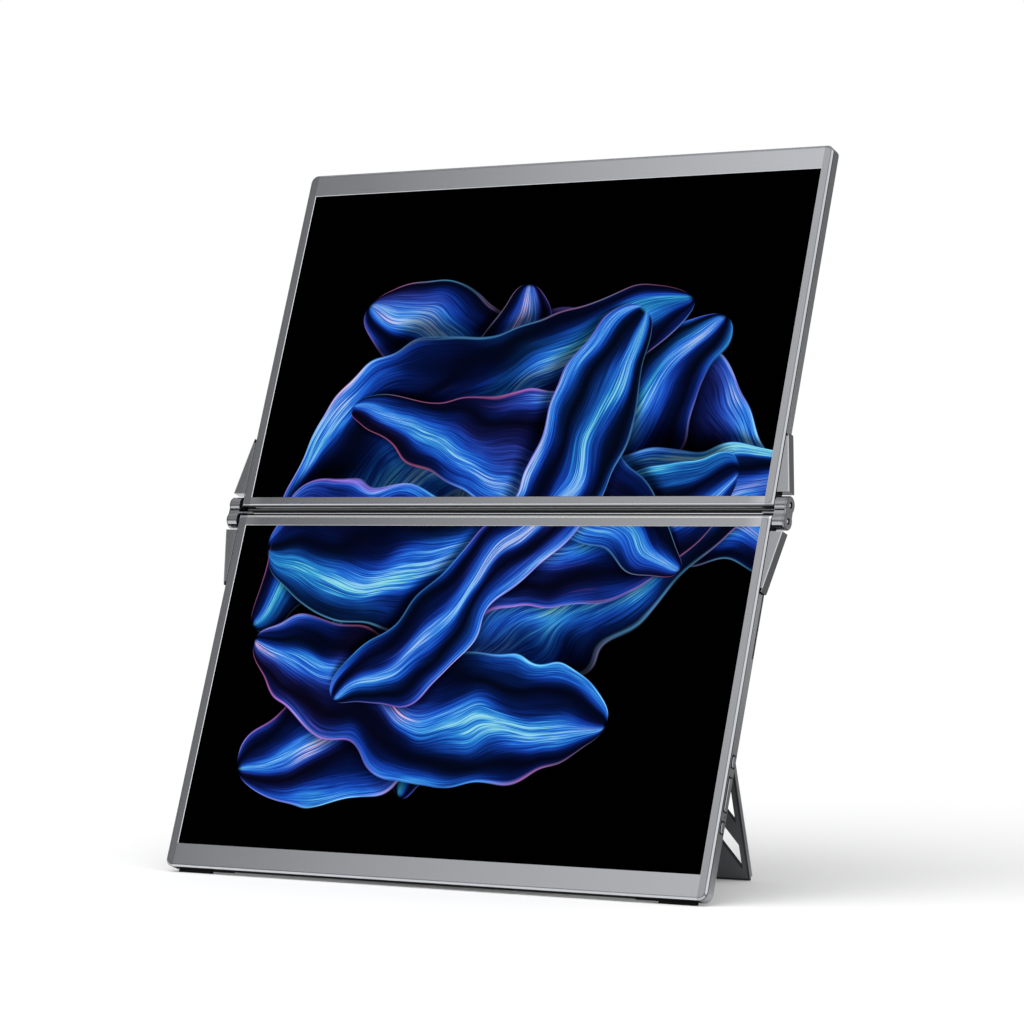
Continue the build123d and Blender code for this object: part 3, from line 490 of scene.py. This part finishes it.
def shade_black_spine(name):
    """Spine coloured matt black as painted shade deep in the gap between the monitors, with the front
    edge of its web left bare steel.
    """
    material, s = new_material(name)
    p = s.place()
    _, up, depth = panel_place(s, p)
    bare = depth.ramp(WEB_FRONT + 0.3 * MM, WEB_FRONT) * abs(up).ramp(0.29 * MM, 0.23 * MM)
    grain = s.noise(p, 3800, 2, 0.6)
    steel = s.tinted((0.85, 0.86, 0.88), 0.9 + 0.2 * grain)
    s.finish(
        s.principled(
            Base_Color=s.mix(bare, (0.016, 0.016, 0.018), steel),
            Metallic=bare,
            Roughness=0.5 - 0.22 * bare + 0.08 * (grain - 0.5),
            Specular_IOR_Level=0.12,
            Normal=s.bump(grain, 0.3, 0.00003),
        )
    )
    return material


def rolled_steel(name, colour, roughness, direction):
    """Sheet metal with the faint lines of the rolling mill along one direction."""
    material, s = new_material(name)
    p = s.place()
    run = s.along(p, direction)
    across = s.along(p, direction.cross(BACK))
    lines = s.noise(s.vector(run * 30, across * 2600), 1, 3, 0.6)
    specks = s.noise(p, 2400, 2, 0.5)
    shade = 0.88 + 0.16 * lines
    s.finish(
        s.principled(
            Base_Color=s.tinted(colour, shade),
            Metallic=1.0,
            Roughness=roughness + 0.14 * (lines - 0.5) + 0.06 * specks,
            Normal=s.bump(lines, 0.2, 0.00003),
        )
    )
    return material


def moulded_plastic(name, colour, roughness, grain_scale=3000):
    """Moulded plastic with a fine spark-eroded texture."""
    material, s = new_material(name)
    p = s.place()
    grain = s.noise(p, grain_scale, 3, 0.65)
    cloud = s.noise(p, 60, 2, 0.5)
    shade = 0.85 + 0.2 * grain + 0.1 * cloud
    s.finish(
        s.principled(
            Base_Color=s.tinted(colour, shade),
            Roughness=roughness - 0.06 + 0.14 * grain,
            Normal=s.bump(grain, 0.45, 0.00004),
        )
    )
    return material


def soft_rubber(name, colour):
    """Moulded rubber: matt, with a faint bloom and a pebbled skin."""
    material, s = new_material(name)
    p = s.place()
    pebbles = s.node("TexVoronoi", values={"Vector": p, "Scale": 1700.0})
    bloom = s.noise(p, 90, 4, 0.6)
    base = s.mix(bloom.ramp(0.35, 0.75) * 0.5, colour, [c * 1.9 + 0.002 for c in colour])
    s.finish(
        s.principled(
            Base_Color=base,
            Roughness=0.72 + 0.14 * bloom,
            Specular_IOR_Level=0.08,
            Normal=s.bump(pebbles, 0.4, 0.00005),
        )
    )
    return material


def shade_lined_seal(name):
    """Seal in two tones: a black front that stands in for the shade line between plate and frame, and
    behind it a pale grey body lightened as painted light in the shaded gap.
    """
    material, s = new_material(name)
    p = s.place()
    _, _, depth = panel_place(s, p)
    bloom = s.noise(p, 90, 4, 0.6)
    grain = s.noise(p, 2600, 2, 0.6)
    body = depth.ramp(SEAL_SHADE_DEPTH - 0.1 * MM, SEAL_SHADE_DEPTH + 0.1 * MM)
    s.finish(
        s.principled(
            # Black in front as painted shade, pale grey behind as painted light.
            Base_Color=s.mix(body, (0.005, 0.005, 0.0055), (0.75, 0.76, 0.78)),
            Roughness=0.6 + 0.2 * bloom,
            Specular_IOR_Level=0.1,
            Normal=s.bump(grain, 0.3, 0.00004),
        )
    )
    return material


def circuit_board(name):
    """Solder mask over copper tracks, with tinned pads."""
    material, s = new_material(name)
    p = s.place()
    x, y, _ = panel_place(s, p)
    track_a = s.noise(s.vector(x * 260, y * 1800), 1, 1, 0.4).ramp(0.52, 0.56)
    track_b = s.noise(s.vector(x * 1700, y * 240), 1, 1, 0.4).ramp(0.54, 0.58)
    pads = s.node("TexVoronoi", values={"Vector": p, "Scale": 420.0})
    tinned = pads.ramp(0.16, 0.12)
    tracks = track_a.max(track_b)
    mask_colour = s.mix(tracks, (0.012, 0.055, 0.03), (0.03, 0.13, 0.065))
    base = s.mix(tinned, mask_colour, (0.7, 0.7, 0.68))
    s.finish(
        s.principled(
            Base_Color=base,
            Metallic=tinned,
            Roughness=0.34 + 0.12 * tinned,
            Normal=s.bump(tracks + tinned, 0.5, 0.00004),
        )
    )
    return material


def smoked_lens(name):
    """Small lamp lens of smoked plastic, dark while the lamp is off."""
    material, s = new_material(name)
    bubbles = s.noise(s.place(), 2600, 2, 0.5)
    smoke = bubbles.ramp(0.3, 0.8) * 0.2
    s.finish(
        s.principled(
            Base_Color=s.mix(smoke, (0.015, 0.015, 0.017), (0.06, 0.06, 0.065)),
            Roughness=0.12 + 0.1 * bubbles,
            Coat_Weight=0.6,
        )
    )
    return material


def recessed_metal(name, colour, roughness):
    """Anodised metal of the keys, with painted shade on each key's part down in the gap round it."""
    material, s = new_material(name)
    p = s.place()
    fine = s.noise(p, SPARKLE_SCALE, 2, 0.6)
    outside = abs(s.along(p, RIGHT)).ramp(HALF_WIDTH - 0.4 * MM, HALF_WIDTH)
    # Painted shade on the part of each key inside the wall.
    shade = (0.06 + 0.94 * outside) * (0.94 + 0.12 * fine)
    s.finish(
        s.principled(
            Base_Color=s.tinted(colour, shade),
            Metallic=1.0,
            Roughness=roughness + 0.3 * (1 - outside) + 0.06 * (fine - 0.5),
            Normal=s.bump(fine, 0.3, BLAST_DEPTH),
        )
    )
    return material


def clear_acrylic(name):
    material, s = new_material(name)
    dots = s.node("TexVoronoi", values={"Vector": s.place(), "Scale": 700.0}).ramp(0.3, 0.2)
    s.finish(
        s.principled(
            Base_Color=s.mix(dots, (0.86, 0.88, 0.9), (1, 1, 1)),
            Roughness=0.08 + 0.4 * dots,
            Coat_Weight=0.5,
        )
    )
    return material


# The lit picture on both screens: wide translucent waves of light that cross each other

WAVES = (
    # turn in degrees, shift, swing, waves per unit, phase, half width, reach, folds, violet, teal
    (-36, 0.62, 0.20, 1.10, 0.6, 0.58, 1.70, 2.6, 0.75, 0.1),
    (62, -0.42, 0.20, 1.30, 2.0, 0.52, 1.62, 2.9, 0.2, 0.6),
    (22, -0.70, 0.26, 1.25, 0.4, 0.54, 1.90, 3.1, 0.5, 0.3),
    (84, 0.36, 0.16, 1.20, 3.3, 0.46, 1.38, 2.4, 0.8, 0.2),
    (40, 0.58, 0.22, 1.50, 2.2, 0.46, 1.62, 2.3, 0.3, 0.5),
    (-14, -1.02, 0.20, 1.40, 5.0, 0.40, 1.25, 3.0, 0.7, 0.2),
    (10, -0.05, 0.30, 1.15, 4.4, 0.46, 1.55, 2.7, 0.3, 0.4),
    (-24, 0.22, 0.20, 1.80, 1.2, 0.32, 1.30, 2.0, 0.6, 0.2),
    (52, -0.10, 0.22, 1.70, 5.3, 0.30, 1.42, 3.4, 0.2, 0.3),
)

PICTURE_SCALE = 10.0


def wave_light(s, t, q, phase, folds):
    """Brightness over one wave, from its broad folds and the fine threads that run along it."""
    soft = s.noise(s.vector(t * 1.1 + phase, q * 1.3 + phase), 1, 2, 0.5)
    threads = s.noise(s.vector(t * 2.0 + phase, q * 22 + 3 * phase), 1, 3, 0.65)
    hairs = s.noise(s.vector(t * 3.0 - phase, q * 70 + 5 * phase), 1, 2, 0.6)
    fold = 0.5 + 0.5 * (q * folds * 1.7 + (t * 1.7 + phase).sin() * 1.4 + soft * 4.6).sin()
    strands = 0.42 + 0.55 * threads.ramp(0.30, 0.70) + 0.50 * hairs.ramp(0.28, 0.72)
    light = fold * (0.30 + 0.85 * soft) * strands
    return soft, threads, fold, light


def wave_colour(s, t, q, phase, light, violet, teal):
    """Blues by brightness, with patches of violet and teal."""
    blue = s.node(
        "ValToRGB",
        {
            "stops": (
                (0.0, (0.0008, 0.002, 0.012)),
                (0.20, (0.002, 0.009, 0.085)),
                (0.42, (0.006, 0.040, 0.34)),
                (0.64, (0.014, 0.12, 0.66)),
                (0.84, (0.05, 0.30, 0.82)),
                (1.0, (0.30, 0.58, 0.90)),
            )
        },
        {0: light * 1.15},
    )
    patches = s.noise(s.vector(t * 0.9 - phase, q * 0.8 + phase * 2), 1, 2, 0.5)
    purple = s.blend("MULTIPLY", patches.ramp(0.48, 0.66) * violet, blue, (4.0, 0.75, 0.62))
    return patches, s.blend("MULTIPLY", patches.ramp(0.50, 0.34) * teal, purple, (0.8, 1.9, 0.50))


def screen_picture(name):
    material, s = new_material(name)
    right, up, _ = panel_place(s, s.place())
    across, upward = right * PICTURE_SCALE, up * PICTURE_SCALE
    warp = s.noise(s.vector(across, upward), 0.9, 2, 0.5) - 0.5
    picture = (0.0, 0.0, 0.0)
    for turn, shift, swing, rate, phase, half, reach, folds, violet, teal in WAVES:
        c, n = cos(radians(turn)), sin(radians(turn))
        t = across * c + upward * n
        w = upward * c - across * n
        ridge = ((t * rate + phase).sin() * swing) + warp * 0.7 + shift
        body = 1 - (t / reach) * (t / reach)
        ruffle = 1.0 + 0.20 * (t * 2.3 + phase).sin() + 0.05 * (t * 9.0 + warp * 14).sin()
        width = body.max(0.0001) ** 0.5 * half * ruffle
        q = (w - ridge) / width
        inside = abs(q).ramp(1.0, 0.975) * body.ramp(0.0, 0.04)
        soft, threads, fold, light = wave_light(s, t, q, phase, folds)
        patches, body_colour = wave_colour(s, t, q, phase, light, violet, teal)
        glow = threads.ramp(0.60, 0.78) * patches.ramp(0.50, 0.62) * fold
        rose = s.blend("ADD", glow * 0.45, body_colour, (0.62, 0.10, 0.26))
        rim_colour = s.mix(patches.ramp(0.42, 0.58), (0.10, 0.34, 0.60), (0.55, 0.14, 0.30))
        rim = abs(q).ramp(0.93, 0.985) * threads.ramp(0.25, 0.65)
        edged = s.blend("ADD", rim * 0.75, rose, rim_colour)
        shadow = abs(q - 0.10).ramp(1.40, 0.98) * body.ramp(0.0, 0.2)
        under = s.blend("MULTIPLY", shadow * 0.82, picture, (0.0, 0.0, 0.0))
        picture = s.mix(inside, under, edged)
    s.finish(
        s.principled(
            Base_Color=(0.0001, 0.0001, 0.0001),
            Roughness=0.22,
            Specular_IOR_Level=0.0,
            Emission_Color=picture,
            Emission_Strength=1.0,
        )
    )
    return material


# Finishes

# The lower plate gets a painted highlight on its hinge chamfer, the upper plate painted shade there.
lower_bezel_metal = bezel_with_painted_light("lower_bezel_metal", LOWER_HINGE_EDGE, 0.8, 0.0)
upper_bezel_metal = bezel_with_painted_light("upper_bezel_metal", UPPER_HINGE_EDGE, 0.0, 0.72)
arm_metal = notched_arm_metal("anodised_arm", (0.40, 0.41, 0.43), 0.20)
cap_metal = pierced_cap_metal("anodised_cap", (0.27, 0.275, 0.29), 0.28)
side_metal = side_wall_metal("anodised_side", (0.40, 0.41, 0.43), 0.30)
cover_metal = cover_finish("anodised_cover", (0.36, 0.368, 0.385), 0.34)
hinge_metal = seam_shaded_block_metal("anodised_hinge", BEZEL_COLOUR, 0.25)
stand_metal = kickstand_metal("anodised_kickstand", (0.145, 0.15, 0.16), (0.42, 0.43, 0.45), 0.40)
seal_rubber = shade_lined_seal("shade_lined_seal")
pad_rubber = soft_rubber("grey_pad_rubber", (0.03, 0.03, 0.032))
pin_steel = turned_steel("turned_pin_steel", (0.50, 0.50, 0.51), 0.28, RIGHT)
leaf_steel = shade_black_leaf("shade_black_leaf")
spine_metal = shade_black_spine("shade_black_spine")
socket_steel = rolled_steel("socket_steel", (0.55, 0.55, 0.56), 0.24, UP)
screw_steel = turned_steel("blackened_screw", (0.10, 0.10, 0.105), 0.38, BACK)
tray_metal = rolled_steel("tray_sheet", (0.55, 0.56, 0.58), 0.35, RIGHT)
black_plastic = moulded_plastic("black_plastic", (0.012, 0.012, 0.013), 0.5)
cable_sleeve = moulded_plastic("cable_sleeve", (0.02, 0.02, 0.021), 0.55, 1500)
black_rubber = soft_rubber("black_rubber", (0.006, 0.006, 0.0065))
board_mask = circuit_board("circuit_board")
guide_acrylic = clear_acrylic("light_guide_acrylic")
lamp_lens = smoked_lens("lamp_lens")
key_metal = recessed_metal("key_metal", (0.40, 0.41, 0.43), 0.28)
picture = screen_picture("screen_picture")

FINISHES = (
    (lower_bezel_metal, ("lower_bezel",)),
    (upper_bezel_metal, ("upper_bezel",)),
    (arm_metal, ("_hinge_arm_left", "_hinge_arm_right")),
    (side_metal, ("_side_frame",)),
    (key_metal, ("power_key", "rocker_key", "back_key")),
    (cover_metal, ("_rear_cover",)),
    (hinge_metal, ("hinge_block_left", "hinge_block_right")),
    (cap_metal, ("hinge_cap_left", "hinge_cap_right")),
    (spine_metal, ("spine_bar",)),
    (leaf_steel, ("hinge_leaf_left", "hinge_leaf_right")),
    (stand_metal, ("kickstand_plate",)),
    (pin_steel, ("pin_nuts", "friction_discs_left", "friction_discs_right", "kickstand_bracket_left",
                 "kickstand_bracket_right", "kickstand_pins")),
    (socket_steel, ("input_sockets",)),
    (screw_steel, ("_cover_screws",)),
    (tray_metal, ("_backlight_tray",)),
    (black_plastic, ("speaker_boxes", "speaker_grille_left", "speaker_grille_right", "left_cap_plugs")),
    (cable_sleeve, ("link_cable",)),
    (black_rubber, ("rubber_feet", "lower_floor_strip", "upper_rear_pads")),
    (seal_rubber, ("_edge_seal",)),
    (pad_rubber, ("kickstand_foot_strip",)),
    (board_mask, ("_main_board", "_driver_board", "switch_board")),
    (guide_acrylic, ("_light_guide",)),
    (lamp_lens, ("status_lamp",)),
    (picture, ("_display_glass",)),
)

for node_name, node in nodes.items():
    chosen = [finish for finish, endings in FINISHES if node_name.endswith(endings)]
    node.data.materials.clear()
    node.data.materials.append(chosen[0])


# New pieces


BEVEL_SEGMENTS = 2
BEVEL_ANGLE = radians(28)
SMOOTH_ANGLE = radians(50)


def bevel(piece, width):
    modifier = piece.modifiers.new("rounded_edges", "BEVEL")
    modifier.width = width
    modifier.segments = BEVEL_SEGMENTS
    modifier.limit_method = "ANGLE"
    modifier.angle_limit = BEVEL_ANGLE
    modifier.miter_outer = "MITER_ARC"
    modifier.use_clamp_overlap = True


def round_edges(node_name, width):
    """A node's own shape with its sharp edges rounded as they are after blasting and anodising."""
    source = nodes[node_name]
    piece = bpy.data.objects.new(node_name + "_rounded", source.data.copy())
    piece.data.name = piece.name
    bpy.context.scene.collection.objects.link(piece)
    bpy.ops.object.select_all(action="DESELECT")
    piece.select_set(True)
    bpy.context.view_layer.objects.active = piece
    bpy.ops.object.mode_set(mode="EDIT")
    bpy.ops.mesh.select_all(action="SELECT")
    bpy.ops.mesh.remove_doubles(threshold=0.000002)
    bpy.ops.mesh.dissolve_limited(angle_limit=radians(0.5))
    bpy.ops.object.mode_set(mode="OBJECT")
    bevel(piece, width)
    bpy.ops.object.modifier_apply(modifier="rounded_edges")
    bpy.ops.object.shade_smooth_by_angle(angle=SMOOTH_ANGLE)
    flat = piece.modifiers.new("flat_faces", "WEIGHTED_NORMAL")
    flat.mode = "FACE_AREA"
    flat.weight = 100
    flat.keep_sharp = True
    bpy.ops.object.modifier_apply(modifier="flat_faces")
    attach(piece, source["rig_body"])
    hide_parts(node_name)


ROUNDED = (
    ("lower_hinge_arm_left", 0.14),
    ("lower_hinge_arm_right", 0.14),
    ("upper_hinge_arm_left", 0.14),
    ("upper_hinge_arm_right", 0.14),
    ("hinge_block_left", 0.10),
    ("hinge_block_right", 0.10),
    ("kickstand_plate", 0.22),
    ("power_key", 0.10),
    ("rocker_key", 0.10),
    ("back_key", 0.10),
    ("rubber_feet", 0.25),
    ("upper_rear_pads", 0.30),
    ("kickstand_foot_strip", 0.25),
)
for node_name, width in ROUNDED:
    round_edges(node_name, width * MM)


# Floor, backdrop, lights and camera

FLOOR_REACH = 30.0

# The studio as metal and glass show it: a wide softbox in front, above and a little to the right,
# a dark curtain to the left of it, a dark screen behind to the right, and the white backdrop
BACKDROP = Vector((-0.54, 0.84, 0.0))
DARK_SIDE = Vector((0.54, 0.84, 0.0))
CURTAIN = Vector((-0.75, -0.66, 0.0))
SOFTBOX_SLANT = 0.05
ROOM_LIGHT = 1.01
FRONT_SHARE = 0.75
RIGHT_SHARE = 0.30


def floor_material():
    material, s = new_material("studio_floor")
    p = s.place()
    far = s.along(p, BACKDROP).ramp(0.3, 1.2)
    gloss = s.ray("Glossy")
    seen = s.ray("Camera").max(gloss).max(s.ray("Transmission"))
    paper = s.principled(Base_Color=(0.97, 0.97, 0.97), Roughness=0.9, Specular_IOR_Level=0.1)
    white = s.node("Emission", values={"Color": (1, 1, 1), "Strength": 1.0})
    dusk = s.node("Emission", values={"Color": (1, 1, 1), "Strength": 0.20})
    dark_side = s.along(p, DARK_SIDE).ramp(0.03, 0.30) * gloss
    ground = s.node("MixShader", values={0: dark_side, 1: paper, 2: dusk})
    s.finish(s.node("MixShader", values={0: far * seen, 1: ground, 2: white}))
    return material


bpy.ops.object.select_all(action="DESELECT")
bpy.ops.mesh.primitive_circle_add(vertices=96, radius=FLOOR_REACH, fill_type="NGON", location=(0, 0, 0))
floor = bpy.context.object
floor.name = "studio_floor"
floor.data.materials.append(floor_material())


def make_world():
    world = bpy.data.worlds.new("studio_world")
    world.use_nodes = True
    bpy.context.scene.world = world
    s = Shader(world.node_tree)
    direction = s.node("TexCoord", output="Generated")
    x, y, z = (s.along(direction, axis) for axis in ((1, 0, 0), (0, 1, 0), (0, 0, 1)))
    azimuth = x.angle_from(-y)
    left_edge = azimuth + SOFTBOX_SLANT * z
    wide = left_edge.ramp(radians(-43.5), radians(-38.5)) * azimuth.ramp(radians(88), radians(68))
    high = z.ramp(0.12, 0.32) * z.ramp(0.90, 0.78) * (0.42 + 0.63 * z)
    glow = 0.55 + 0.45 * left_edge.ramp(radians(-40), radians(-28), False)
    glow = glow + 0.70 * azimuth.ramp(radians(-25), radians(30)) * z.ramp(0.70, 0.37)
    behind = s.along(direction, BACKDROP).ramp(0.75, 0.95)
    curtain = s.along(direction, CURTAIN).ramp(0.5, 0.9)
    overhead = z.max(0.0)
    room = 0.16 - 0.13 * curtain + 0.45 * overhead * overhead + 0.17 * x.max(0.0)
    studio = (room + glow * wide * high).max(behind)
    gloss = s.ray("Glossy").max(s.ray("Transmission"))
    plain = ROOM_LIGHT * (1 - FRONT_SHARE * y + RIGHT_SHARE * x)
    strength = plain + (studio - plain) * gloss
    strength = strength + (1.0 - strength) * s.ray("Camera")
    s.finish(s.node("Background", values={"Color": (1, 1, 1), "Strength": strength}), "OutputWorld")


make_world()


def area_light(name, place, target, size, power):
    data = bpy.data.lights.new(name, "AREA")
    data.shape = "RECTANGLE"
    data.size, data.size_y = size
    data.energy = power
    light = bpy.data.objects.new(name, data)
    bpy.context.scene.collection.objects.link(light)
    light.location = place
    light.rotation_euler = (Vector(target) - Vector(place)).to_track_quat("-Z", "Y").to_euler()
    return light


CENTRE = (0, 0, 0.2)
top_light = area_light("top_softbox", (-0.8, -0.9, 2.0), CENTRE, (1.8, 1.8), 10.0)
top_light.visible_glossy = False

# The photograph's camera: level, 2.07 m away, to the right of the monitors
LENS = 128.89
YAW = radians(32.403)
DISTANCE = 2.0725
SIDE_SHIFT = 0.010124
DROP = 0.000597

camera_data = bpy.data.cameras.new("photo_camera")
camera_data.sensor_width = 36.0
camera_data.lens = LENS
camera_data.clip_start = 0.01
camera_data.clip_end = 100.0
camera = bpy.data.objects.new("photo_camera", camera_data)
bpy.context.scene.collection.objects.link(camera)
forward = Vector((-sin(YAW), cos(YAW), 0))
rightward = Vector((cos(YAW), sin(YAW), 0))
camera.location = MIDDLE - forward * DISTANCE + rightward * SIDE_SHIFT - Vector((0, 0, DROP))
camera.rotation_euler = (radians(90), 0, YAW)
bpy.context.scene.camera = camera
bpy.context.scene.view_settings.view_transform = "Standard"
